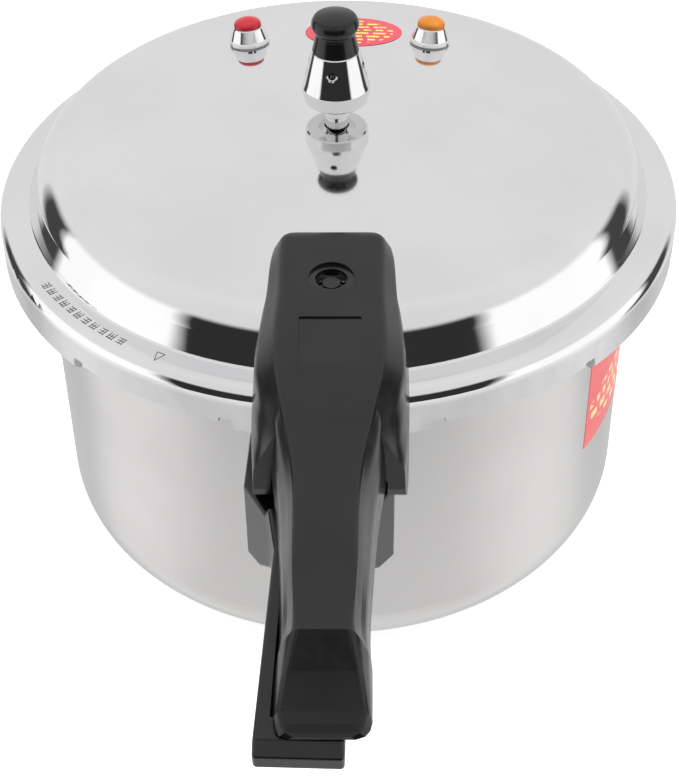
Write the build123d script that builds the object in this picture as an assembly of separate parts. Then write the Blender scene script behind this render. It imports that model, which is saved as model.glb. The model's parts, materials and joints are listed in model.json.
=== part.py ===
from build123d import *
import math
import os

# Pressure canner, millimetres. Origin: centre of the pot's flat base. +Z up, the pot handle along -Y.

# Pot
POT_INNER_R = 120.0
WALL = 2.5
POT_R = POT_INNER_R + WALL
BASE_THICK = 4.0
CORNER_R = 26.0
RIM_Z = 148.2
BEAD_R = 126.4
BEAD_Z = (141.0, 146.0)
POT_LUG_R = 133.2
POT_LUG_DEG = 28.0
LUG_COUNT = 6

# Lid
SHEET = 2.5
LEDGE_Z = 159.1
LID_R = 139.0
ROLL_R = 4.9
SKIRT_Z = 142.5
CROWN_Z = 190.3
CROWN_R = 614.0
SHOULDER_R = 15.0
SHOULDER_X = 107.9
SHOULDER_Z = 165.5
SHOULDER_END = 80.0
SIDE_DEG = 66.0
COVE_R = 1.2
LID_LUG_DEG = 30.0
LID_LUG_IN = 127.4
LID_LUG_Z = 137.5

# The lid stands this far short of fully closed, turned about Z.
LID_TURN = 1.5

# Valves on the dome
VALVE_R = 75.5
RED_DEG = 121.0
AMBER_DEG = 59.0
STEM_R = 4.0
SEAL_HIGH = 0.6
CAP_Z = 7.4
PLUG_R = 4.6
CHAMBER_R = 2.6
SEAT_Z = -3.0
BALL_R = 2.3
BALL_SEAT = 1.8
FLOAT_R = 107.0
BUSH_LOW = 171.0
BUSH_TOP = 183.2
FLOAT_STEM_R = 2.0
RUNNING = 0.1

# Vent pipe and regulator weight
PIPE_R = 4.0
PIPE_TOP = CROWN_Z + 16.2
WEIGHT_Z = CROWN_Z + 6.5
WEIGHT_R = 13.5
WEIGHT_TOP = WEIGHT_Z + 22.1
KNOB_TOP = WEIGHT_TOP + 15.6
VENT_Z = WEIGHT_Z + 16.0
NEEDLE_CHAMBER_R = 2.6
FIRST_VENT_DEG = -97.0

# Handles
HEAD_HALF = 18.2
HEAD_END_Y = -80.6
HEAD_START_Y = -85.1
HANDLE_TIP_Y = -276.5
HANDLE_WALL = 3.4
HOLE_R = 5.85
RECESS = 0.6
DISH = 0.5
DISH_R = 8.2
RIVET_R = 2.4
SCREW_R = 2.0
ARM_Z = 184.4
ARM_SLOPE = 0.139
BRACKET_RIVET_X = 9.0
BRACKET_RIVET_Y = -94.5
BRACKET_SCREW_X = 11.2
LID_SCREW_Y = -143.0
LID_SCREW_TIP = 183.2
GAP = 0.3
FIT = 0.05

POT_HANDLE_SOFT = 1.4
HELPER_SOFT = 2.0

# Foil labels
FOIL = 0.15
LABEL_Z = (69.0, 125.0)
LABEL_DEG = -12.0
LABEL_WIDE_DEG = 40.0
LABEL_XY = (6.0, 73.0)
LABEL_RADII = (21.0, 15.6)


def ring(r_in, r_out, z_low, z_high):
    """Plain annulus between two radii and two heights."""
    body = Pos(0, 0, z_low) * Cylinder(r_out, z_high - z_low, align=(Align.CENTER, Align.CENTER, Align.MIN))
    if r_in <= 0:
        return body
    bore = Pos(0, 0, z_low - 1) * Cylinder(
        r_in, z_high - z_low + 2, align=(Align.CENTER, Align.CENTER, Align.MIN)
    )
    return body - bore


def wedge(middle_deg, width_deg, z_low, z_high, reach=200.0):
    """Pie slice about the Z axis, used to cut arcs out of rings."""
    half = math.radians(width_deg / 2)
    mid = math.radians(middle_deg)
    left = (reach * math.cos(mid - half), reach * math.sin(mid - half))
    right = (reach * math.cos(mid + half), reach * math.sin(mid + half))
    slice_face = make_face(Polyline((0, 0), left, right, (0, 0)))
    return Pos(0, 0, z_low) * extrude(slice_face, z_high - z_low)


def turned(points):
    """Solid of revolution about Z from a closed outline of (radius, height) points."""
    return revolve(Plane.XZ * make_face(Polyline(*points, points[0])), Axis.Z)


def turned_wire(edges):
    """Solid of revolution about Z from edges drawn in (radius, height)."""
    return revolve(Plane.XZ * make_face(Wire(edges)), Axis.Z)


def block(x_half, y_near, y_far, z_low, z_high):
    """Box centred on X = 0 between two Y and two Z values."""
    return Pos(0, (y_near + y_far) / 2, (z_low + z_high) / 2) * Box(
        2 * x_half, abs(y_far - y_near), z_high - z_low
    )


def side_prism(points, x_half):
    """Outline of (y, z) points extruded both ways along X."""
    face = Plane.YZ * make_face(Polyline(*points, points[0]))
    return extrude(face, x_half, both=True)


def plan_prism(points, z_low, z_high):
    """Outline of (x, y) points extruded along Z."""
    face = make_face(Polyline(*points, points[0]))
    return Pos(0, 0, z_low) * extrude(face, z_high - z_low)


def crest(radius, z_edge, z_top):
    """Spherical top from an edge point up to the axis."""
    rise = z_top - z_edge
    sphere_r = (radius**2 + rise**2) / (2 * rise)
    middle = radius / 2
    z_mid = z_top - sphere_r + math.sqrt(sphere_r**2 - middle**2)
    return ThreePointArc((radius, z_edge), (middle, z_mid), (0, z_top))


def mirrored(points):
    """Right-hand outline points and their mirror image, as one closed loop."""
    return points + [(-x, y) for x, y in reversed(points)]


def dome_z(radius):
    """Height of the lid's outer surface on the crown."""
    return CROWN_Z - CROWN_R + math.sqrt(CROWN_R**2 - radius**2)


def on_dome(angle_deg, radius=VALVE_R):
    """Location on the crown with its Z axis along the surface normal."""
    angle = math.radians(angle_deg)
    tilt = math.degrees(math.asin(radius / CROWN_R))
    place = Pos(radius * math.cos(angle), radius * math.sin(angle), dome_z(radius))
    return place * Rot(0, 0, angle_deg) * Rot(0, tilt, 0)


def on_arc(centre, radius, slope_deg):
    """Point of an arc in (radius, height) where its surface has a given slope, outwards and down."""
    slope = math.radians(slope_deg)
    return (centre[0] + radius * math.sin(slope), centre[1] + radius * math.cos(slope))


def cove_centre():
    """Centre of the small cove between the lid's sloping side and its ledge."""
    foot = on_arc((SHOULDER_X, SHOULDER_Z), SHOULDER_R, SHOULDER_END)
    slope = math.radians(SIDE_DEG)
    height = LEDGE_Z + COVE_R
    return (foot[0] + (foot[1] - height) / math.tan(slope) + COVE_R / math.sin(slope), height)


def crease(inset):
    """Edge between the shoulder and the sloping side."""
    foot = on_arc((SHOULDER_X, SHOULDER_Z), SHOULDER_R, SHOULDER_END)
    bisector = (SHOULDER_END + SIDE_DEG) / 2
    depth = inset / math.cos(math.radians((SHOULDER_END - SIDE_DEG) / 2))
    return on_arc(foot, -depth, bisector)


def crown_arc(inset):
    """Arc from the axis to where the shoulder starts."""
    centre = (0, CROWN_Z - CROWN_R)
    start = math.degrees(math.asin(SHOULDER_X / (CROWN_R - SHOULDER_R)))
    radius = CROWN_R - inset
    return ThreePointArc((0, CROWN_Z - inset), on_arc(centre, radius, start / 2), on_arc(centre, radius, start))


def lid_outline(inset, skirt_bottom):
    """Edges of the lid's surface, inset from the outer one, closed along the axis."""
    crown = crown_arc(inset)
    shoulder = (SHOULDER_X, SHOULDER_Z)
    cove = cove_centre()
    roll = (LID_R - ROLL_R, LEDGE_Z - ROLL_R)
    cove_top = on_arc(cove, -COVE_R - inset, SIDE_DEG)
    ledge_start = (cove[0], LEDGE_Z - inset)
    roll_top = (roll[0], LEDGE_Z - inset)
    skirt = LID_R - inset
    return [
        crown,
        ThreePointArc(crown @ 1, on_arc(shoulder, SHOULDER_R - inset, SHOULDER_END / 2), crease(inset)),
        Line(crease(inset), cove_top),
        ThreePointArc(cove_top, on_arc(cove, -COVE_R - inset, SIDE_DEG / 2), ledge_start),
        Line(ledge_start, roll_top),
        ThreePointArc(roll_top, on_arc(roll, ROLL_R - inset, 45), (skirt, roll[1])),
        Line((skirt, roll[1]), (skirt, skirt_bottom)),
        Line((skirt, skirt_bottom), (0, skirt_bottom)),
        Line((0, skirt_bottom), (0, CROWN_Z - inset)),
    ]


def lid_envelope(clearance=0.0):
    """Everything under the lid's outer surface, grown by a clearance."""
    return turned_wire(lid_outline(-clearance, LID_LUG_Z))


# ---------------------------------------------------------------- pot


def vessel(radius, corner, z_low, z_high):
    """Closed cup with a rounded bottom corner."""
    centre = (radius - corner, z_low + corner)
    diagonal = corner * math.sqrt(0.5)
    return turned_wire(
        [
            Line((0, z_low), (radius - corner, z_low)),
            ThreePointArc(
                (radius - corner, z_low), (centre[0] + diagonal, centre[1] - diagonal), (radius, z_low + corner)
            ),
            Line((radius, z_low + corner), (radius, z_high)),
            Line((radius, z_high), (0, z_high)),
            Line((0, z_high), (0, z_low)),
        ]
    )


def lug_angles():
    """The six lug centres; the first is over the handle."""
    return [-90 + i * 360 / LUG_COUNT for i in range(LUG_COUNT)]


def post(x, y, z_low, z_high, radius):
    """Upright cylinder."""
    return Pos(x, y, z_low) * Cylinder(radius, z_high - z_low, align=(Align.CENTER, Align.CENTER, Align.MIN))


def bar(x, z, y_from, y_to, radius):
    """Cylinder along Y."""
    return Pos(x, (y_from + y_to) / 2, z) * Rot(90, 0, 0) * Cylinder(radius, abs(y_to - y_from))


# Rivets as (x, z) on the wall; plates as (low, high) heights.
HANDLE_RIVETS = [(-14.0, 126.0), (14.0, 126.0), (0.0, 110.0)]
HELPER_RIVETS = [(-14.0, 117.0), (14.0, 117.0)]
PLATE = 2.0
PLATE_HALF = 20.0
HEAD_R = 3.8
HEAD_HIGH = 2.8
BRACKET_Z = (105.5, 131.0)
TONGUE = 34.0
BRACKET_SCREW_Y = -148.5
BRACKET_SCREW_Z = 109.4
BRACKET_SCREW_TIP = 130.0
HELPER_Z = (109.0, 125.0)
HELPER_TONGUE = 20.0
HELPER_SCREW_Y = 133.5
HELPER_SCREW_Z = 105.0
HELPER_SCREW_TIP = 123.0


def pot_shell():
    shell = vessel(POT_R, CORNER_R, 0, RIM_Z)
    shell -= vessel(POT_INNER_R, CORNER_R - WALL, BASE_THICK, RIM_Z + 1)
    shell += ring(POT_R - 1, BEAD_R, *BEAD_Z)
    for angle in lug_angles():
        shell += ring(POT_R - 1, POT_LUG_R, *BEAD_Z) & wedge(angle, POT_LUG_DEG, 130, 160)
    for x, z in HANDLE_RIVETS:
        shell -= bar(x, z, -POT_INNER_R + 8, -POT_R - 3, RIVET_R + FIT)
    for x, z in HELPER_RIVETS:
        shell -= bar(x, z, POT_INNER_R - 8, POT_R + 3, RIVET_R + FIT)
    return shell


def wall_plate(side, z_low, z_high, depth, rivets, screw_y):
    """Plate that hugs the pot wall on its -Y (side -1) or +Y (side +1) side, with a tongue."""
    outer_r = POT_R + PLATE
    middle = (z_low + z_high) / 2
    plate = ring(POT_R, outer_r, z_low, z_high) & block(PLATE_HALF, 0, side * 200, z_low, z_high)
    plate += block(6.0, side * (POT_R + 1.0), side * (POT_R + depth), middle - 1.5, middle + 1.5)
    for x, z in rivets:
        plate -= bar(x, z, side * (POT_R - 4), side * (POT_R + 4), RIVET_R + FIT)
    return plate - post(0, screw_y, middle - 5, middle + 5, SCREW_R + FIT)


def wall_rivets(places, side):
    """Round-headed rivets through the pot wall and the plate on it."""
    rivets = []
    for x, z in places:
        inner = math.sqrt(POT_INNER_R**2 - x**2)
        outer = math.sqrt((POT_R + PLATE) ** 2 - x**2)
        inner_head = bar(x, z, side * (inner - 1.6), side * (inner + 1), RIVET_R + 2)
        inner_head -= ring(POT_INNER_R, POT_R + 9, z - 9, z + 9)
        outer_head = bar(x, z, side * (outer - 1), side * (outer + 1.8), RIVET_R + 2)
        outer_head -= ring(0, POT_R + PLATE, z - 9, z + 9)
        shank = bar(x, z, side * (inner - 1), side * (outer + 1), RIVET_R)
        rivets.append(shank + inner_head + outer_head)
    return together(rivets)


def together(pieces):
    """Several loose solids as one node."""
    solids = []
    for piece in pieces:
        solids.extend(piece.solids())
    return Compound(solids)


def clamp_screw(y, z_head, z_tip):
    """Slotted screw, head down."""
    screw = post(0, y, z_head, z_tip, SCREW_R) + post(0, y, z_head, z_head + HEAD_HIGH, HEAD_R)
    return screw - Pos(0, y, z_head) * Box(6, 0.8, 1.6)


def screw_hole(y, z_mouth, z_head, z_tip):
    """Counterbore and shank hole for a clamp screw driven from below."""
    return post(0, y, z_mouth, z_head + HEAD_HIGH, HEAD_R + 0.3) + post(0, y, z_head, z_tip, SCREW_R + FIT)


def plate_pocket(side, z_low, z_high, depth):
    """Room inside a handle for its wall plate, tongue and rivet heads."""
    middle = (z_low + z_high) / 2
    half = PLATE_HALF + 0.3
    pocket = ring(0, POT_R + PLATE, z_low - 0.3, z_high + 0.3) & block(half, 0, side * 200, 80, 150)
    pocket += block(half, side * (POT_R - 5), side * (POT_R + 5), z_low - 0.3, z_high + 0.3)
    pocket += block(6.2, side * POT_R, side * (POT_R + depth + 0.3), middle - 1.6, middle + 1.6)
    return pocket + ring(0, POT_R, 60, 160)


def pot_handle_outline():
    """Side view, (y, z): flat head under the lid, a step up, then the grip."""
    return [
        (-122.6, 136.4),
        (-173.5, 136.4),
        (-182.5, 147.0),
        (-276.0, 142.3),
        (-280.2, 138.5),
        (-279.4, 132.4),
        (-184.0, 118.0),
        (-168.0, 103.5),
        (-140.0, 96.5),
        (-122.6, 95.0),
    ]


def pot_handle_plan():
    """Top view, (x, y), right half: wide head, slanted shoulder, slim grip."""
    return [
        (26.4, -118.0),
        (26.6, -160.0),
        (17.4, -176.0),
        (12.8, -200.0),
        (14.2, -290.0),
    ]


def softened(body, radius):
    """Rounds all edges away from the pot wall."""
    edges = [e for e in body.edges() if abs(e.center().Y) > POT_R + 2 * radius]
    return fillet(edges, radius)


def pot_handle():
    grip = side_prism(pot_handle_outline(), 40) & plan_prism(mirrored(pot_handle_plan()), 80, 160)
    grip = softened(grip, POT_HANDLE_SOFT)
    grip -= plate_pocket(-1, *BRACKET_Z, TONGUE)
    grip -= screw_hole(BRACKET_SCREW_Y, 90, BRACKET_SCREW_Z, BRACKET_SCREW_TIP)
    # the grip is a trough, open towards the upper handle
    trough = side_prism([(-188, 150), (-188, 132), (-268, 133.5), (-268, 150)], 9.2)
    return grip - trough


def helper_handle():
    side = [
        (118.0, 128.0),
        (152.0, 130.5),
        (168.0, 130.0),
        (173.0, 126.0),
        (172.0, 116.0),
        (166.0, 112.5),
        (160.0, 118.5),
        (145.0, 118.5),
        (138.0, 106.0),
        (118.0, 101.0),
    ]
    plan = [(27.0, 114.0), (33.0, 140.0), (34.0, 156.0), (29.0, 168.0), (20.0, 174.0)]
    grip = side_prism(side, 50) & plan_prism(mirrored(plan), 90, 150)
    grip = softened(grip, HELPER_SOFT)
    grip -= plate_pocket(1, *HELPER_Z, HELPER_TONGUE)
    return grip - screw_hole(HELPER_SCREW_Y, 90, HELPER_SCREW_Z, HELPER_SCREW_TIP)


def body_label():
    return ring(POT_R, POT_R + FOIL, *LABEL_Z) & wedge(LABEL_DEG, LABEL_WIDE_DEG, 0, 200)


# ---------------------------------------------------------------- seal and lid


def sealing_ring():
    """Silicone ring of C section, open inwards, between the pot's rim and the lid's ledge."""
    lip_z = RIM_Z + GAP
    top_z = LEDGE_Z - SHEET - GAP
    outer = LID_R - SHEET - GAP
    return turned(
        [
            (POT_INNER_R - 1.2, lip_z),
            (outer, lip_z),
            (outer, top_z - 2.3),
            (outer - 2.2, top_z),
            (POT_R + 1.5, top_z),
            (POT_R + 1.5, top_z - 1.7),
            (outer - 3.2, top_z - 2.2),
            (outer - 3.2, lip_z + 1.8),
            (POT_INNER_R - 1.2, lip_z + 1.2),
        ]
    )


def lid_lug():
    """Folded lug section: skirt extension and inward flange."""
    inner = LID_R - SHEET
    return turned(
        [
            (LID_LUG_IN, LID_LUG_Z),
            (LID_R - 2.2, LID_LUG_Z),
            (LID_R, LID_LUG_Z + 2.2),
            (LID_R, SKIRT_Z + 0.1),
            (inner, SKIRT_Z + 0.1),
            (inner, LID_LUG_Z + SHEET),
            (LID_LUG_IN, LID_LUG_Z + SHEET),
        ]
    )


def lid_shell():
    shell = turned_wire(lid_outline(0, SKIRT_Z)) - turned_wire(lid_outline(SHEET, SKIRT_Z))
    lug = lid_lug()
    for angle in lug_angles():
        shell += lug & wedge(angle, LID_LUG_DEG, 130, 160)
        for end in (-1, 1):
            notch_deg = angle + end * (LID_LUG_DEG / 2 + 1.2)
            shell -= ring(LID_R - 6, LID_R + 3, SKIRT_Z - 1, SKIRT_Z + 1.6) & wedge(notch_deg, 2.0, 130, 160)
    shell -= post(0, 0, 150, 220, PIPE_R + FIT)
    for angle in (RED_DEG, AMBER_DEG):
        shell -= on_dome(angle) * Cylinder(STEM_R + FIT, 20)
    shell -= post(0, -FLOAT_R, 150, 200, STEM_R + FIT)
    for x in (-BRACKET_RIVET_X, BRACKET_RIVET_X):
        shell -= post(x, BRACKET_RIVET_Y, 150, 200, RIVET_R + FIT)
    return shell


def lid_skin():
    """The lid's sheet without holes or lugs, for cutting parts to its curve."""
    return turned_wire(lid_outline(0, SKIRT_Z)) - turned_wire(lid_outline(SHEET, SKIRT_Z))


def lid_label():
    oval = Pos(LABEL_XY[0], LABEL_XY[1], 170) * extrude(Ellipse(*LABEL_RADII), 30)
    foil = lid_envelope(FOIL) - lid_envelope()
    return oval & foil


# Right half of each cross-section, (x, z) from the top edge down; sections run towards -Y.
HEAD_SECTIONS = [
    (HEAD_START_Y, [(HEAD_HALF, 190.1), (22.2, 183.2), (25.0, 171.0), (27.0, 161.0), (27.8, 137.8)]),
    (-100.0, [(18.3, 188.7), (23.5, 181.2), (25.7, 170.2), (27.3, 160.2), (27.9, 138.0)]),
    (-120.0, [(18.4, 186.8), (25.0, 178.4), (26.4, 168.5), (27.7, 159.0), (27.9, 138.2)]),
    (-150.0, [(18.5, 184.0), (25.0, 175.6), (26.6, 166.0), (27.6, 157.0), (27.7, 138.6)]),
    (-163.0, [(16.4, 181.9), (20.8, 174.2), (24.4, 166.4), (26.8, 156.8), (27.2, 138.8)]),
    (-172.0, [(14.6, 179.7), (17.4, 173.2), (21.4, 164.0), (25.8, 156.0), (26.4, 139.0)]),
]
GRIP_SECTIONS = [
    (-160.0, [(16.0, 181.8), (17.8, 176.0), (19.4, 164.0), (20.0, 150.0)]),
    (-172.0, [(14.7, 180.0), (17.2, 174.6), (19.0, 163.0), (19.6, 149.8)]),
    (-184.0, [(12.2, 176.8), (14.6, 171.4), (17.2, 161.6), (18.1, 149.4)]),
    (-198.0, [(10.4, 173.6), (12.5, 168.6), (15.5, 160.0), (16.6, 148.7)]),
    (-220.0, [(9.8, 169.6), (11.7, 164.8), (14.2, 157.0), (15.2, 147.5)]),
    (-251.0, [(9.0, 163.8), (11.4, 159.6), (13.9, 153.0), (15.0, 145.5)]),
]
SCOOP_SECTIONS = [
    GRIP_SECTIONS[-1],
    (-261.0, [(11.4, 156.4), (12.6, 154.0), (14.2, 149.6), (15.1, 144.8)]),
    (-270.5, [(13.3, 149.0), (14.0, 147.8), (14.7, 146.0), (15.1, 143.6)]),
    (-273.5, [(12.6, 146.6), (13.2, 145.7), (13.9, 144.8), (14.4, 143.4)]),
    (-275.5, [(11.2, 145.1), (11.8, 144.5), (12.4, 143.9), (12.9, 143.3)]),
    (HANDLE_TIP_Y, [(8.6, 144.3), (9.2, 143.9), (9.7, 143.5), (10.1, 143.1)]),
]
# Side view of the corner taken off the head's lower outer end.
HEAD_HEEL = [
    (-165.4, 130.0),
    (-165.4, 138.9),
    (-168.8, 140.3),
    (-171.2, 143.0),
    (-172.2, 147.0),
    (-174.0, 147.0),
    (-174.0, 130.0),
]
EDGE_SOFT = 1.8
EDGE_STEPS = 3


def part_way(start, end, share):
    return (start[0] + (end[0] - start[0]) * share, start[1] + (end[1] - start[1]) * share)


def rounded(half):
    """Half-section with every corner but the lowest replaced by a short curve."""
    loop = [(-half[0][0], half[0][1])] + half
    points = []
    for before, corner, after in zip(loop, loop[1:], loop[2:]):
        first = part_way(corner, before, min(EDGE_SOFT / math.dist(corner, before), 0.35))
        last = part_way(corner, after, min(EDGE_SOFT / math.dist(corner, after), 0.35))
        for step in range(EDGE_STEPS + 1):
            share = step / EDGE_STEPS
            points.append(part_way(part_way(first, corner, share), part_way(corner, last, share), share))
    return points + [half[-1]]


def lofted(sections, ruled=True):
    """Body through symmetric cross-sections with softened edges."""
    faces = []
    for y, half in sections:
        loop = [Vector(x, y, z) for x, z in mirrored(rounded(half))]
        faces.append(make_face(Polyline(*loop, loop[0])))
    return loft(faces, ruled=ruled)


def head_cap():
    """Rounded inner end of the head."""
    y_start, half = HEAD_SECTIONS[0]
    radius = HEAD_END_Y - y_start
    sections = []
    for angle in (90, 70, 50, 30, 15, 0):
        shrink = radius * (1 - math.cos(math.radians(angle)))
        lowered = [(half[0][0] - shrink, half[0][1] - shrink / 3)] + [(x - shrink, z) for x, z in half[1:]]
        sections.append((y_start + radius * math.sin(math.radians(angle)), lowered))
    return lofted(sections)


def head_top(y):
    """Height of the upper handle's flat top at a place along its head."""
    (y_a, half_a), (y_b, half_b) = HEAD_SECTIONS[0], HEAD_SECTIONS[3]
    share = (y - y_a) / (y_b - y_a)
    return half_a[0][1] + share * (half_b[0][1] - half_a[0][1])


def under_top(y_near, y_far, depth, x_half):
    """Prism under the head's top face, its upper side a given depth below it."""
    return side_prism(
        [(y_near, head_top(y_near) - depth), (y_far, head_top(y_far) - depth), (y_far, 100), (y_near, 100)],
        x_half,
    )


def shield_recess():
    """Shallow shield-shaped recess in the head's top face."""
    outline = mirrored([(10.9, -127.0), (10.8, -150.0), (9.8, -154.6), (7.0, -158.6), (3.0, -160.6)])
    crest = [(y, half[0][1] - RECESS) for y, half in HEAD_SECTIONS[2:5]]
    above = side_prism(crest + [(crest[-1][0], 200), (crest[0][0], 200)], 20)
    return plan_prism(outline, 150, 210) & above


def handle_bosses():
    """Two short bosses under the head's ceiling that the bracket screws go into."""
    bosses = []
    for x in (-BRACKET_SCREW_X, BRACKET_SCREW_X):
        bosses.append(post(x, LID_SCREW_Y, arm_top(LID_SCREW_Y) + 0.6, head_top(LID_SCREW_Y) - 1.5, 3.4))
    return bosses


def lid_handle():
    body = lofted(HEAD_SECTIONS, ruled=False) + head_cap() - under_top(-86.5, -164.0, HANDLE_WALL, 15.0)
    body -= block(20.0, -120, -176, 100, 150) + side_prism(HEAD_HEEL, 40)
    body += lofted(GRIP_SECTIONS, ruled=False) - block(15.0, -150, -164.0, 100, 200)
    body += lofted(SCOOP_SECTIONS)
    for boss in handle_bosses():
        body += boss
    # the underside of the grip is a trough, closed at its end
    body -= side_prism([(-186, 130), (-186, 166), (-244, 156), (-258, 149), (-258, 130)], 9.0)
    body -= post(0, -FLOAT_R, 150, 200, HOLE_R)
    body -= post(0, -FLOAT_R, head_top(-FLOAT_R) - DISH, 200, DISH_R)
    body -= shield_recess()
    for x in (-BRACKET_SCREW_X, BRACKET_SCREW_X):
        body -= post(x, LID_SCREW_Y, 160, LID_SCREW_TIP + FIT, SCREW_R + FIT)
    return body - lid_envelope()


def arm_top(y):
    """Upper side of the bracket's two sloping arms."""
    return ARM_Z - (-101.0 - y) * ARM_SLOPE


def lid_handle_bracket():
    """Pad riveted to the dome, with two arms that pass the float and carry the handle."""
    side = [
        (-88.0, 176.0),
        (-88.0, ARM_Z),
        (-101.0, ARM_Z),
        (-150.0, arm_top(-150.0)),
        (-150.0, arm_top(-150.0) - 2.5),
        (-101.0, ARM_Z - 2.5),
        (-101.0, 176.0),
    ]
    plate = side_prism(side, 14.5) - block(8.0, -101.0, -152.0, 160, 200) - lid_envelope()
    for x in (-BRACKET_RIVET_X, BRACKET_RIVET_X):
        plate -= post(x, BRACKET_RIVET_Y, 150, 200, RIVET_R + FIT)
    for x in (-BRACKET_SCREW_X, BRACKET_SCREW_X):
        plate -= post(x, LID_SCREW_Y, 150, 200, SCREW_R + FIT)
    return plate


def lid_handle_rivets():
    rivets = []
    skin = lid_skin()
    inner_z = dome_z(-BRACKET_RIVET_Y) - SHEET
    for x in (-BRACKET_RIVET_X, BRACKET_RIVET_X):
        inner_head = post(x, BRACKET_RIVET_Y, inner_z - 2.6, inner_z + 1, RIVET_R + 2) - skin
        inner_head = inner_head & block(20, -80, -110, 150, inner_z + 0.6)
        shank = post(x, BRACKET_RIVET_Y, inner_z - 2, ARM_Z + 0.5, RIVET_R)
        outer_head = post(x, BRACKET_RIVET_Y, ARM_Z, ARM_Z + 0.8, RIVET_R + 1.2)
        rivets.append(shank + outer_head + inner_head)
    return together(rivets)


def lid_handle_screws():
    screws = []
    head_z = arm_top(LID_SCREW_Y) - 3.1
    for x in (-BRACKET_SCREW_X, BRACKET_SCREW_X):
        screw = post(x, LID_SCREW_Y, head_z, LID_SCREW_TIP, SCREW_R)
        screw += post(x, LID_SCREW_Y, head_z - 2.4, head_z, 3.4)
        screw -= Pos(x, LID_SCREW_Y, head_z - 2.4) * Box(5.4, 0.8, 1.6)
        screws.append(screw)
    return together(screws)


# ---------------------------------------------------------------- vent, valves, float


def hex_nut(z_low, z_high, flat_half, bore_r):
    """Hexagon nut about Z."""
    hexagon = RegularPolygon(flat_half, 6, major_radius=False)
    nut = Pos(0, 0, z_low) * extrude(hexagon, z_high - z_low)
    return nut - ring(0, bore_r, z_low - 1, z_high + 1)


def vent_pipe():
    """Steam pipe: collar on the crown, spigot for the weight above it, threaded stem below."""
    pipe = ring(0, PIPE_R, CROWN_Z - 16, PIPE_TOP) + ring(0, 5.2, CROWN_Z, CROWN_Z + 5.7)
    return pipe - ring(0, 1.5, CROWN_Z - 17, PIPE_TOP + 1)


def vent_pipe_washer():
    return ring(PIPE_R + FIT, 8.0, CROWN_Z - SHEET - 1.1, CROWN_Z - SHEET - 0.1)


def vent_pipe_nut():
    return hex_nut(CROWN_Z - SHEET - 6.1, CROWN_Z - SHEET - 1.1, 6.5, PIPE_R + FIT)


def anti_clog_cap():
    """Slotted cap over the pipe's inner end, which keeps food out of it."""
    top = CROWN_Z - 10.0
    low = CROWN_Z - 22.0
    cap = ring(0, 8.5, low, top) - ring(0, 7.3, low + 1.2, top - 1.2) - ring(0, PIPE_R + FIT, top - 3, top + 1)
    for i in range(6):
        cap -= Rot(0, 0, 60 * i) * Pos(8, 0, (low + top) / 2) * Box(5, 2.0, 6.5)
        cap -= Rot(0, 0, 60 * i) * post(4.6, 0, low - 1, low + 2, 0.9)
    return cap


def valve_housing():
    """Flange, cone and threaded stem, about the surface normal; local zero is the dome."""
    body = turned(
        [
            (0, -12.0),
            (STEM_R, -12.0),
            (STEM_R, SEAL_HIGH),
            (8.7, SEAL_HIGH),
            (8.7, SEAL_HIGH + 1.0),
            (8.0, SEAL_HIGH + 1.6),
            (6.4, CAP_Z - 0.4),
            (6.1, CAP_Z),
            (0, CAP_Z),
        ]
    )
    body -= ring(0, CHAMBER_R, SEAT_Z, CAP_Z + 1) + ring(0, PLUG_R, CAP_Z - 1.5, CAP_Z + 1)
    return body - ring(0, 1.5, -13, SEAT_Z + 1)


def valve_cap():
    """Translucent domed cap with a short plug."""
    dome = turned_wire(
        [
            Line((0, CAP_Z), (5.9, CAP_Z)),
            Line((5.9, CAP_Z), (5.9, CAP_Z + 0.8)),
            ThreePointArc((5.9, CAP_Z + 0.8), (5.5, CAP_Z + 2.0), (4.5, CAP_Z + 2.8)),
            crest(4.5, CAP_Z + 2.8, CAP_Z + 3.9),
            Line((0, CAP_Z + 3.9), (0, CAP_Z)),
        ]
    )
    return dome + ring(0, PLUG_R - FIT, CAP_Z - 1.5, CAP_Z)


def valve_seal():
    return ring(STEM_R + FIT, 8.2, 0.0, SEAL_HIGH)


def valve_nut():
    return hex_nut(-SHEET - 4.6, -SHEET - 0.1, 6.0, STEM_R + FIT)


def fusible_plug():
    """Low-melting slug that blocks the red valve's chamber."""
    return ring(0, CHAMBER_R - FIT, SEAT_Z, SEAT_Z + 4.0)


def relief_ball():
    return Pos(0, 0, SEAT_Z + BALL_SEAT) * Sphere(BALL_R)


def relief_spring():
    """Compression spring from the ball to the cap's plug."""
    low = SEAT_Z + BALL_SEAT + BALL_R - 0.3
    high = CAP_Z - 1.5 - 0.35
    path = Pos(0, 0, low) * Helix(pitch=(high - low) / 4, height=high - low, radius=1.9)
    section = Plane(origin=path @ 0, z_dir=path % 0) * Circle(0.32)
    return sweep(section, path=path)


def float_bush():
    """Guide for the float, screwed through the dome under the handle's window."""
    stem = post(0, -FLOAT_R, BUSH_LOW, BUSH_TOP, STEM_R)
    flange = post(0, -FLOAT_R, 176, BUSH_TOP, 5.5) - lid_envelope(0.8)
    return stem + flange - post(0, -FLOAT_R, 160, 200, FLOAT_STEM_R + RUNNING)


def float_bush_seal():
    pad = post(0, -FLOAT_R, 176, BUSH_TOP, 5.5) & (lid_envelope(0.8) - lid_envelope())
    return pad - post(0, -FLOAT_R, 160, 200, STEM_R + FIT)


def float_bush_nut():
    return Pos(0, -FLOAT_R, 0) * hex_nut(BUSH_LOW + 0.6, 176.7, 5.4, STEM_R + FIT)


def float_pin():
    """Stem with a piston under the lid."""
    return post(0, -FLOAT_R, BUSH_LOW - 7.5, BUSH_TOP + 2.0, FLOAT_STEM_R) + post(
        0, -FLOAT_R, BUSH_LOW - 8.0, BUSH_LOW - 5.0, 4.2
    )


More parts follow.
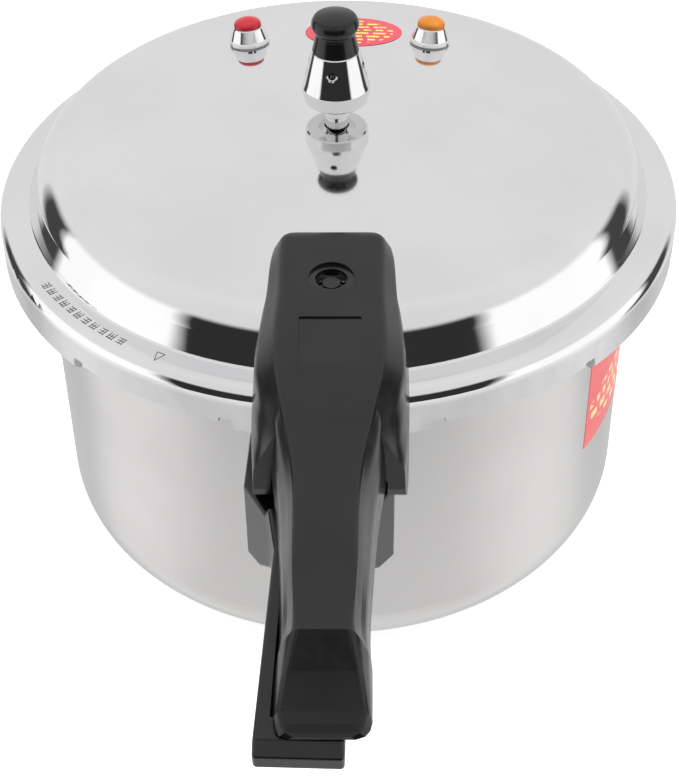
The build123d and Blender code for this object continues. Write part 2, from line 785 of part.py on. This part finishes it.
def float_pin_seal():
    seal = post(0, -FLOAT_R, BUSH_LOW - 5.0, BUSH_LOW - 3.8, 3.8)
    return seal - post(0, -FLOAT_R, 150, 200, FLOAT_STEM_R)


def float_button():
    """Cap on the float's upper end, seen through the handle's window."""
    button = post(0, -FLOAT_R, BUSH_TOP + 0.4, BUSH_TOP + 2.6, 3.2)
    return button - post(0, -FLOAT_R, 150, BUSH_TOP + 2.0, FLOAT_STEM_R)


# ---------------------------------------------------------------- weight


def weight_body():
    """Bell-shaped regulator weight with four side vents."""
    body = turned(
        [
            (0, WEIGHT_Z),
            (12.2, WEIGHT_Z),
            (12.8, WEIGHT_Z + 0.6),
            (WEIGHT_R, WEIGHT_Z + 4.6),
            (WEIGHT_R, WEIGHT_Z + 6.6),
            (12.9, WEIGHT_Z + 8.4),
            (9.6, WEIGHT_TOP - 0.4),
            (9.3, WEIGHT_TOP),
            (0, WEIGHT_TOP),
        ]
    )
    body -= ring(0, 7.5, WEIGHT_Z - 1, WEIGHT_Z + 2.2) + ring(0, 4.3, WEIGHT_Z, PIPE_TOP + 0.4)
    body -= ring(0, NEEDLE_CHAMBER_R, PIPE_TOP, VENT_Z + 2.2) + ring(0, 3.0, WEIGHT_TOP - 2.4, WEIGHT_TOP + 1)
    for i in range(4):
        turn = Rot(0, 0, FIRST_VENT_DEG + 90 * i)
        body -= turn * Pos(7.5, 0, VENT_Z) * Rot(0, 90, 0) * Cylinder(1.5, 12)
        body -= turn * Pos(13.0, 0, VENT_Z) * Rot(0, 90, 0) * Cylinder(2.3, 4.4)
    return body


def weight_needle():
    """Pin that closes the vent pipe's bore."""
    return turned(
        [
            (0, PIPE_TOP + 0.1),
            (1.3, PIPE_TOP + 1.4),
            (1.3, VENT_Z + 2.2),
            (0, VENT_Z + 2.2),
        ]
    )


def weight_knob():
    """Heat-proof knob: flared neck under a rounded disc."""
    z = WEIGHT_TOP
    return turned_wire(
        [
            Line((0, z - 2.3), (3.0 - FIT, z - 2.3)),
            Line((3.0 - FIT, z - 2.3), (3.0 - FIT, z)),
            Line((3.0 - FIT, z), (9.2, z)),
            Line((9.2, z), (7.7, z + 6.2)),
            ThreePointArc((7.7, z + 6.2), (7.5, z + 7.2), (7.9, z + 8.0)),
            ThreePointArc((7.9, z + 8.0), (9.35, z + 11.2), (7.9, z + 14.4)),
            crest(7.9, z + 14.4, KNOB_TOP),
            Line((0, KNOB_TOP), (0, z - 2.3)),
        ]
    )


# ---------------------------------------------------------------- assembly


def on_pot():
    return {
        "pot_shell": pot_shell(),
        "body_label": body_label(),
        "pot_handle": pot_handle(),
        "pot_handle_bracket": wall_plate(-1, *BRACKET_Z, TONGUE, HANDLE_RIVETS, BRACKET_SCREW_Y),
        "pot_handle_rivets": wall_rivets(HANDLE_RIVETS, -1),
        "pot_handle_screw": clamp_screw(BRACKET_SCREW_Y, BRACKET_SCREW_Z, BRACKET_SCREW_TIP),
        "helper_handle": helper_handle(),
        "helper_handle_bracket": wall_plate(1, *HELPER_Z, HELPER_TONGUE, HELPER_RIVETS, HELPER_SCREW_Y),
        "helper_handle_rivets": wall_rivets(HELPER_RIVETS, 1),
        "helper_handle_screw": clamp_screw(HELPER_SCREW_Y, HELPER_SCREW_Z, HELPER_SCREW_TIP),
        "sealing_ring": sealing_ring(),
    }


def on_lid():
    red = on_dome(RED_DEG)
    amber = on_dome(AMBER_DEG)
    return {
        "lid_shell": lid_shell(),
        "lid_label": lid_label(),
        "lid_handle": lid_handle(),
        "lid_handle_bracket": lid_handle_bracket(),
        "lid_handle_rivets": lid_handle_rivets(),
        "lid_handle_screws": lid_handle_screws(),
        "vent_pipe": vent_pipe(),
        "vent_pipe_washer": vent_pipe_washer(),
        "vent_pipe_nut": vent_pipe_nut(),
        "anti_clog_cap": anti_clog_cap(),
        "red_valve_body": red * valve_housing(),
        "red_valve_cap": red * valve_cap(),
        "red_valve_seal": red * valve_seal(),
        "red_valve_nut": red * valve_nut(),
        "fusible_plug": red * fusible_plug(),
        "amber_valve_body": amber * valve_housing(),
        "amber_valve_cap": amber * valve_cap(),
        "amber_valve_seal": amber * valve_seal(),
        "amber_valve_nut": amber * valve_nut(),
        "relief_ball": amber * relief_ball(),
        "relief_spring": amber * relief_spring(),
        "float_bush": float_bush(),
        "float_bush_seal": float_bush_seal(),
        "float_bush_nut": float_bush_nut(),
        "float_pin": float_pin(),
        "float_pin_seal": float_pin_seal(),
        "float_button": float_button(),
        "weight_body": weight_body(),
        "weight_needle": weight_needle(),
        "weight_knob": weight_knob(),
    }


def main():
    os.makedirs("parts", exist_ok=True)
    nodes = on_pot()
    for name, solid in on_lid().items():
        nodes[name] = Rot(0, 0, LID_TURN) * solid
    for name, solid in nodes.items():
        export_step(solid, f"parts/{name}.step")


main()
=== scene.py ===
import json
import math

import bmesh
import bpy
from mathutils import Matrix, Vector


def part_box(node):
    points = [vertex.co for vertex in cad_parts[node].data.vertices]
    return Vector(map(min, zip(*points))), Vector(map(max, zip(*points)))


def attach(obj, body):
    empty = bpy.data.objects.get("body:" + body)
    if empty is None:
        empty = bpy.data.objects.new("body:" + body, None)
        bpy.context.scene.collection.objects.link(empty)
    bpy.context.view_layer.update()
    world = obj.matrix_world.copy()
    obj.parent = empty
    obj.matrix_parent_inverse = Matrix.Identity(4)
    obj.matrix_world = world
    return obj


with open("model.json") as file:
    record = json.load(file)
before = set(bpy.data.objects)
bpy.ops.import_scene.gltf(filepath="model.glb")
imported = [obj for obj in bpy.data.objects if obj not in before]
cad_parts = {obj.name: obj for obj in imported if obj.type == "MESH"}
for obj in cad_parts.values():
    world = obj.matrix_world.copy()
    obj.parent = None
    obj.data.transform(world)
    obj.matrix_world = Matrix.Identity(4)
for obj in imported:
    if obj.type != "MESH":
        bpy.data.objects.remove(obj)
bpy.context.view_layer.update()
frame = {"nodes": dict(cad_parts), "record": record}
NODES = frame["nodes"]
MM = 0.001

# Camera: the view of the pot from above its handles.
CAMERA_TURN = math.radians(3.05)
CAMERA_YAW = math.radians(0.077)
CAMERA_DOWN = math.radians(40.66)
CAMERA_ROLL = math.radians(-1.015)
CAMERA_BACK = 603.4 * MM
CAMERA_HEIGHT = 562.3 * MM
FOCAL_PIXELS = 1743.0
LONG_SIDE = 777
SENSOR = 36.0

# Room brightness by direction, from the front (0) round to the back (1).
LOW_ROOM = [
    (0.0, 0.03),
    (0.27, 0.03),
    (0.31, 1.15),
    (0.59, 1.15),
    (0.62, 0.06),
    (0.69, 0.06),
    (0.73, 0.8),
    (1.0, 0.8),
]
HIGH_ROOM = [(0.0, 0.76), (0.5, 0.84), (1.0, 0.80)]
TABLE_ROOM = [
    (0.0, 0.90),
    (0.40, 0.90),
    (0.50, 1.02),
    (0.61, 1.02),
    (0.67, 0.74),
    (0.74, 0.70),
    (0.80, 0.80),
    (1.0, 0.82),
]

# Angles above the horizon between which one layer of the room fades into the next.
LOW_TOP = (math.radians(10), math.radians(24))
TABLE_TOP = (math.radians(-37), math.radians(-33))

# Dark card over the front of the object, seen only in reflections.
CARD_Y = (-0.54, -0.40)
CARD_HALF = 0.12
CARD_Z = 0.52

# Paper floor and the one lamp overhead.
FLOOR_HALF = 6.0
FLOOR_DROP = 0.0002
FLOOR_WHITE = 0.93
FLOOR_GLOW = 0.62
CEILING_PLACE = (0.0, 0.3, 2.2)
CEILING_SIZE = (2.5, 2.0)
CEILING_WATTS = 55.0

# Heights between which the lid's satin skirt turns into polish; a colour ramp needs them scaled to 0..1.
SKIRT_FADE = (0.1510, 0.1545)
SKIRT_SCALE = 4.0

# Generic printing on the two labels: (row height, word length, gap) in metres.
ROUND_LABEL_PRINT = (0.0034, 0.0075, 0.0011)
BODY_LABEL_PRINT = (0.0062, 0.0078, 0.0015)

# Marks pressed into the lid's ledge, in its own frame.
MARK_R = (0.1306, 0.1343)
MARK_DEG = (-125.2, -147.5)
MARK_COUNT = 11
ARROW_DEG = -118.6
ARROW_R = (0.1302, 0.1348)
MARK_THICK = 0.00004
MARK_WIDE = 0.00028
ARROW_HALF_DEG = 0.75
LEDGE_Z = 0.1591
LID_TURN = math.radians(1.5)


def add_object(name, data):
    obj = bpy.data.objects.new(name, data)
    bpy.context.scene.collection.objects.link(obj)
    return obj


# ---------------------------------------------------------------- camera, light, floor


def make_camera():
    data = bpy.data.cameras.new("camera")
    data.sensor_fit = "AUTO"
    data.sensor_width = SENSOR
    data.lens = FOCAL_PIXELS / LONG_SIDE * SENSOR
    data.clip_start = 0.01
    data.clip_end = 50
    cam = add_object("camera", data)
    turn = Matrix.Rotation(CAMERA_TURN + CAMERA_YAW, 4, "Z")
    down = Matrix.Rotation(math.pi / 2 - CAMERA_DOWN, 4, "X")
    roll = Matrix.Rotation(CAMERA_ROLL, 4, "Z")
    place = Vector(
        (CAMERA_BACK * math.sin(CAMERA_TURN), -CAMERA_BACK * math.cos(CAMERA_TURN), CAMERA_HEIGHT)
    )
    cam.matrix_world = Matrix.Translation(place) @ turn @ down @ roll
    bpy.context.scene.camera = cam


def math_node(tree, operation, first, second=None):
    node = tree.nodes.new("ShaderNodeMath")
    node.operation = operation
    for socket, value in zip(node.inputs, (first, second)):
        if value is None:
            continue
        if isinstance(value, (int, float)):
            socket.default_value = value
        else:
            tree.links.new(value, socket)
    return node.outputs[0]


def ramp_node(tree, factor, stops, interpolation="EASE"):
    """Colour ramp from (position, grey or colour) stops."""
    node = tree.nodes.new("ShaderNodeValToRGB")
    ramp = node.color_ramp
    ramp.interpolation = interpolation
    while len(ramp.elements) < len(stops):
        ramp.elements.new(0.5)
    for element, (place, colour) in zip(ramp.elements, stops):
        element.position = place
        if isinstance(colour, (int, float)):
            colour = (colour, colour, colour)
        element.color = (*colour, 1)
    tree.links.new(factor, node.inputs[0])
    return node.outputs[0]


def blended(tree, factor, first, second):
    """First where the factor is 0, second where it is 1."""
    mix = tree.nodes.new("ShaderNodeMix")
    mix.data_type = "RGBA"
    tree.links.new(factor, mix.inputs["Factor"])
    tree.links.new(first, mix.inputs[6])
    tree.links.new(second, mix.inputs[7])
    return mix.outputs[2]


def make_world():
    """Studio: even light overhead; a dark front, white sides and dark gaps low down around the table."""
    world = bpy.data.worlds.new("studio")
    bpy.context.scene.world = world
    world.use_nodes = True
    tree = world.node_tree
    tree.nodes.clear()
    coords = tree.nodes.new("ShaderNodeTexCoord")
    split = tree.nodes.new("ShaderNodeSeparateXYZ")
    tree.links.new(coords.outputs["Generated"], split.inputs[0])
    sideways = math_node(tree, "ABSOLUTE", split.outputs["X"])
    forward = math_node(tree, "MULTIPLY", split.outputs["Y"], -1.0)
    round_angle = math_node(tree, "ARCTAN2", sideways, forward)
    # 0 is the front of the room, 1 the back
    share = math_node(tree, "DIVIDE", round_angle, math.pi)
    layers = [ramp_node(tree, share, stops, "LINEAR") for stops in (TABLE_ROOM, LOW_ROOM, HIGH_ROOM)]
    height = math_node(tree, "MULTIPLY", math_node(tree, "ADD", split.outputs["Z"], 1.0), 0.5)
    colour = layers[0]
    for upper, edge in zip(layers[1:], (TABLE_TOP, LOW_TOP)):
        stops = [((math.sin(angle) + 1) / 2, value) for angle, value in zip(edge, (0.0, 1.0))]
        colour = blended(tree, ramp_node(tree, height, stops), colour, upper)
    back = tree.nodes.new("ShaderNodeBackground")
    tree.links.new(colour, back.inputs["Color"])
    back.inputs["Strength"].default_value = 1.0
    out = tree.nodes.new("ShaderNodeOutputWorld")
    tree.links.new(back.outputs[0], out.inputs[0])


def make_camera_card():
    """Dark card that only reflections see."""
    mesh = bpy.data.meshes.new("camera_card")
    near, far = CARD_Y
    corners = [(-CARD_HALF, near), (CARD_HALF, near), (CARD_HALF, far), (-CARD_HALF, far)]
    mesh.from_pydata([(x, y, CARD_Z) for x, y in corners], [], [(0, 1, 2, 3)])
    card = add_object("camera_card", mesh)
    mat, tree, shader = new_material("camera_card")
    cloud = ramp_node(tree, noise(tree, 9.0), [(0.3, 0.01), (0.7, 0.02)])
    tree.links.new(cloud, shader.inputs["Base Color"])
    shader.inputs["Roughness"].default_value = 0.9
    mesh.materials.append(mat)
    card.visible_camera = False
    card.visible_diffuse = False
    card.visible_transmission = False
    card.visible_shadow = False


def make_ceiling():
    """Wide soft lamp, aimed at the origin and left out of reflections."""
    data = bpy.data.lights.new("ceiling", "AREA")
    data.shape = "RECTANGLE"
    data.size, data.size_y = CEILING_SIZE
    data.energy = CEILING_WATTS
    light = add_object("ceiling", data)
    light.location = CEILING_PLACE
    light.rotation_mode = "QUATERNION"
    light.rotation_quaternion = (-Vector(CEILING_PLACE)).to_track_quat("-Z", "Y")
    light.visible_glossy = False


def make_floor():
    """Pale paper that glows a little, so it stays white round the object."""
    bm = bmesh.new()
    bmesh.ops.create_grid(bm, x_segments=2, y_segments=2, size=FLOOR_HALF)
    mesh = bpy.data.meshes.new("floor")
    bm.to_mesh(mesh)
    bm.free()
    floor = add_object("floor", mesh)
    floor.location.z = -FLOOR_DROP
    mat, _, shader = new_material("floor_paper")
    shader.inputs["Base Color"].default_value = (FLOOR_WHITE, FLOOR_WHITE, FLOOR_WHITE, 1)
    shader.inputs["Roughness"].default_value = 0.9
    shader.inputs["Specular IOR Level"].default_value = 0.1
    shader.inputs["Emission Color"].default_value = (1.0, 1.0, 1.0, 1)
    shader.inputs["Emission Strength"].default_value = FLOOR_GLOW
    floor.visible_glossy = False
    mesh.materials.append(mat)


# ---------------------------------------------------------------- materials


def new_material(name):
    mat = bpy.data.materials.new(name)
    mat.use_nodes = True
    return mat, mat.node_tree, mat.node_tree.nodes["Principled BSDF"]


def noise(tree, scale, detail=3.0, stretch=None):
    coords = tree.nodes.new("ShaderNodeTexCoord")
    source = coords.outputs["Object"]
    if stretch:
        mapping = tree.nodes.new("ShaderNodeMapping")
        mapping.inputs["Scale"].default_value = stretch
        tree.links.new(source, mapping.inputs[0])
        source = mapping.outputs[0]
    node = tree.nodes.new("ShaderNodeTexNoise")
    node.inputs["Scale"].default_value = scale
    node.inputs["Detail"].default_value = detail
    tree.links.new(source, node.inputs["Vector"])
    return node.outputs["Fac"]


def bump(tree, shader, height, strength, distance):
    node = tree.nodes.new("ShaderNodeBump")
    node.inputs["Strength"].default_value = strength
    node.inputs["Distance"].default_value = distance
    tree.links.new(height, node.inputs["Height"])
    tree.links.new(node.outputs[0], shader.inputs["Normal"])


def metal(name, colour_low, colour_high, rough_low, rough_high, scale):
    """Bare metal whose tone and gloss wander together between two values."""
    mat, tree, shader = new_material(name)
    shader.inputs["Metallic"].default_value = 1.0
    cloud = noise(tree, scale, 4.0)
    tone = ramp_node(tree, cloud, [(0.35, colour_low), (0.65, colour_high)])
    gloss = ramp_node(tree, cloud, [(0.3, rough_low), (0.7, rough_high)])
    tree.links.new(tone, shader.inputs["Base Color"])
    tree.links.new(gloss, shader.inputs["Roughness"])
    return mat


def plastic(name, colour, rough):
    """Moulded plastic with faint clouds and a fine grain."""
    mat, tree, shader = new_material(name)
    low = tuple(c * 0.85 for c in colour)
    high = tuple(min(1.0, c * 1.15) for c in colour)
    tone = ramp_node(tree, noise(tree, 60.0), [(0.35, low), (0.65, high)])
    gloss = ramp_node(tree, noise(tree, 220.0), [(0.3, rough * 0.9), (0.7, rough * 1.1)])
    tree.links.new(tone, shader.inputs["Base Color"])
    tree.links.new(gloss, shader.inputs["Roughness"])
    bump(tree, shader, noise(tree, 900.0, 2.0), 0.08, 0.0001)
    return mat


def lid_metal():
    """Mirror-polished sheet whose skirt is left satin."""
    mat, tree, shader = new_material("lid_aluminium")
    shader.inputs["Metallic"].default_value = 1.0
    coords = tree.nodes.new("ShaderNodeTexCoord")
    split = tree.nodes.new("ShaderNodeSeparateXYZ")
    tree.links.new(coords.outputs["Object"], split.inputs[0])
    height = math_node(tree, "MULTIPLY", split.outputs["Z"], SKIRT_SCALE)
    low, high = SKIRT_FADE
    skirt = ramp_node(tree, height, [(low * SKIRT_SCALE, 1.0), (high * SKIRT_SCALE, 0.0)])
    cloud = noise(tree, 18.0, 4.0)
    polished = ramp_node(tree, cloud, [(0.35, (0.83, 0.83, 0.84)), (0.65, (0.87, 0.87, 0.87))])
    satin = ramp_node(tree, noise(tree, 60.0, 5.0, (2.0, 2.0, 1.0)), [(0.3, 0.66), (0.7, 0.70)])
    rough = ramp_node(tree, cloud, [(0.3, 0.045), (0.7, 0.075)])
    rough_satin = ramp_node(tree, noise(tree, 40.0), [(0.3, 0.20), (0.7, 0.27)])
    for above, below, socket in ((polished, satin, "Base Color"), (rough, rough_satin, "Roughness")):
        tree.links.new(blended(tree, skirt, above, below), shader.inputs[socket])
    return mat


def printed(name, colour, edge_colour, ink, across, up, print_sizes, window):
    """Film with rows of plain bars inside an oval window; across and up are object axes."""
    mat, tree, shader = new_material(name)
    row, word, gap = print_sizes
    (u_mid, u_half), (v_mid, v_half) = window
    coords = tree.nodes.new("ShaderNodeTexCoord")
    split = tree.nodes.new("ShaderNodeSeparateXYZ")
    tree.links.new(coords.outputs["Object"], split.inputs[0])
    u = math_node(tree, "SUBTRACT", split.outputs[across], u_mid)
    v = math_node(tree, "SUBTRACT", split.outputs[up], v_mid)
    join = tree.nodes.new("ShaderNodeCombineXYZ")
    tree.links.new(u, join.inputs[0])
    tree.links.new(v, join.inputs[1])
    brick = tree.nodes.new("ShaderNodeTexBrick")
    brick.offset = 0.37
    brick.squash = 0.7
    brick.squash_frequency = 3
    sizes = (("Scale", 1.0), ("Mortar Size", gap), ("Brick Width", word), ("Row Height", row))
    for socket, value in sizes:
        brick.inputs[socket].default_value = value
    brick.inputs["Mortar Smooth"].default_value = 0.15
    tree.links.new(join.outputs[0], brick.inputs["Vector"])
    u_share = math_node(tree, "POWER", math_node(tree, "DIVIDE", u, u_half), 2.0)
    v_share = math_node(tree, "POWER", math_node(tree, "DIVIDE", v, v_half), 2.0)
    inside = math_node(tree, "LESS_THAN", math_node(tree, "ADD", u_share, v_share), 1.0)
    bars = math_node(tree, "SUBTRACT", 1.0, brick.outputs["Fac"])
    broken = math_node(tree, "GREATER_THAN", noise(tree, 420.0, 1.0), 0.36)
    shown = math_node(tree, "MULTIPLY", math_node(tree, "MULTIPLY", bars, inside), broken)
    ground = ramp_node(tree, noise(tree, 30.0), [(0.35, colour), (0.65, edge_colour)])
    pale = tuple(min(1.0, c * 1.1) for c in ink)
    inked = ramp_node(tree, noise(tree, 90.0), [(0.3, ink), (0.7, pale)])
    tree.links.new(blended(tree, shown, ground, inked), shader.inputs["Base Color"])
    shader.inputs["Roughness"].default_value = 0.3
    return mat


def make_materials():
    """One material per slot of the record."""
    pot_low, pot_high = (0.66, 0.65, 0.645), (0.735, 0.725, 0.72)
    return {
        "pot_aluminium": metal("pot_aluminium", pot_low, pot_high, 0.26, 0.36, 14.0),
        "lid_aluminium": lid_metal(),
        "black_phenolic": plastic("black_phenolic", (0.005, 0.005, 0.005), 0.24),
        "bracket_steel": metal("bracket_steel", (0.55, 0.55, 0.55), (0.65, 0.65, 0.65), 0.25, 0.35, 60.0),
        "fastener_steel": metal("fastener_steel", (0.6, 0.6, 0.6), (0.7, 0.7, 0.7), 0.2, 0.3, 90.0),
        "chrome": metal("chrome", (0.80, 0.80, 0.81), (0.86, 0.86, 0.87), 0.03, 0.06, 50.0),
        "bright_steel": metal("bright_steel", (0.6, 0.6, 0.61), (0.72, 0.72, 0.73), 0.12, 0.2, 90.0),
        "seal_silicone": plastic("seal_silicone", (0.62, 0.60, 0.56), 0.6),
        "red_plastic": plastic("red_plastic", (0.36, 0.010, 0.02), 0.12),
        "amber_plastic": plastic("amber_plastic", (0.58, 0.19, 0.012), 0.12),
        "fusible_alloy": metal("fusible_alloy", (0.4, 0.4, 0.41), (0.5, 0.5, 0.51), 0.4, 0.5, 90.0),
        "label_foil": plastic("label_foil", (0.75, 0.08, 0.08), 0.35),
    }


def dress_labels():
    """Both films get bars instead of words."""
    low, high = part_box("lid_label")
    middle, half = (low + high) / 2, (high - low) / 2
    window = ((middle.x, half.x * 0.82), (middle.y, half.y * 0.80))
    red, deep, yellow = (0.55, 0.045, 0.075), (0.46, 0.03, 0.055), (0.80, 0.58, 0.10)
    oval = printed("oval_print", red, deep, yellow, "X", "Y", ROUND_LABEL_PRINT, window)
    low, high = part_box("body_label")
    middle, half = (low + high) / 2, (high - low) / 2
    # on the wall the bars fill only a band below the middle
    window = ((middle.y, half.y * 1.05), (middle.z - half.z * 0.35, half.z * 0.42))
    salmon, rose, cream = (0.80, 0.12, 0.12), (0.72, 0.09, 0.09), (0.90, 0.62, 0.30)
    side = printed("side_print", salmon, rose, cream, "Y", "Z", BODY_LABEL_PRINT, window)
    for name, mat in (("lid_label", oval), ("body_label", side)):
        NODES[name].data.materials.clear()
        NODES[name].data.materials.append(mat)


def polar(radius, degrees, height):
    """Point on the turned lid."""
    angle = math.radians(degrees) + LID_TURN
    return Vector((radius * math.cos(angle), radius * math.sin(angle), height))


def flat_bar(bm, first, second, width):
    """Thin raised strip between two points of the ledge."""
    along = (second - first).normalized()
    side = along.cross(Vector((0, 0, 1))) * width / 2
    thick = Vector((0, 0, MARK_THICK))
    corners = [first - side, first + side, second + side, second - side]
    bottom = [bm.verts.new(c - thick) for c in corners]
    top = [bm.verts.new(c + thick) for c in corners]
    bm.faces.new(top)
    bm.faces.new(list(reversed(bottom)))
    for i in range(4):
        j = (i + 1) % 4
        bm.faces.new((bottom[i], bottom[j], top[j], top[i]))


def make_marks():
    """Row of plain tick groups and a small arrow pressed into the ledge."""
    bm = bmesh.new()
    low, high = MARK_R
    z = LEDGE_Z + MARK_THICK * 0.5
    start, end = MARK_DEG
    pitch = (end - start) / MARK_COUNT
    for i in range(MARK_COUNT):
        here = start + pitch * i
        for k in range(2 + i % 2):
            deg = here + pitch * (0.12 + 0.26 * k)
            flat_bar(bm, polar(low + 0.0004 * (k % 2), deg, z), polar(high, deg, z), MARK_WIDE)
        for share in (0.15, 0.52, 0.88)[i % 2 :]:
            radius = low + (high - low) * share
            first, second = here + pitch * 0.06, here + pitch * 0.72
            flat_bar(bm, polar(radius, first, z), polar(radius, second, z), MARK_WIDE)
    tip = polar(ARROW_R[1], ARROW_DEG, z)
    left = polar(ARROW_R[0], ARROW_DEG - ARROW_HALF_DEG, z)
    right = polar(ARROW_R[0], ARROW_DEG + ARROW_HALF_DEG, z)
    for first, second in ((tip, left), (left, right), (right, tip)):
        flat_bar(bm, first, second, MARK_WIDE)
    mesh = bpy.data.meshes.new("ledge_marks")
    bm.to_mesh(mesh)
    bm.free()
    marks = add_object("ledge_marks", mesh)
    dark, pale = (0.12, 0.12, 0.12), (0.22, 0.22, 0.22)
    mesh.materials.append(metal("mark_grey", dark, pale, 0.4, 0.6, 200.0))
    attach(marks, "lid")


def dress_nodes(materials):
    """Each CAD node gets the material of its slot."""
    slots = {part["node"]: part["material_slot"] for part in frame["record"]["subparts"]}
    for name, obj in NODES.items():
        obj.data.materials.clear()
        obj.data.materials.append(materials[slots[name]])


def main():
    bpy.context.scene.view_settings.view_transform = "Standard"
    make_camera()
    make_world()
    make_floor()
    make_ceiling()
    make_camera_card()
    dress_nodes(make_materials())
    dress_labels()
    make_marks()


main()
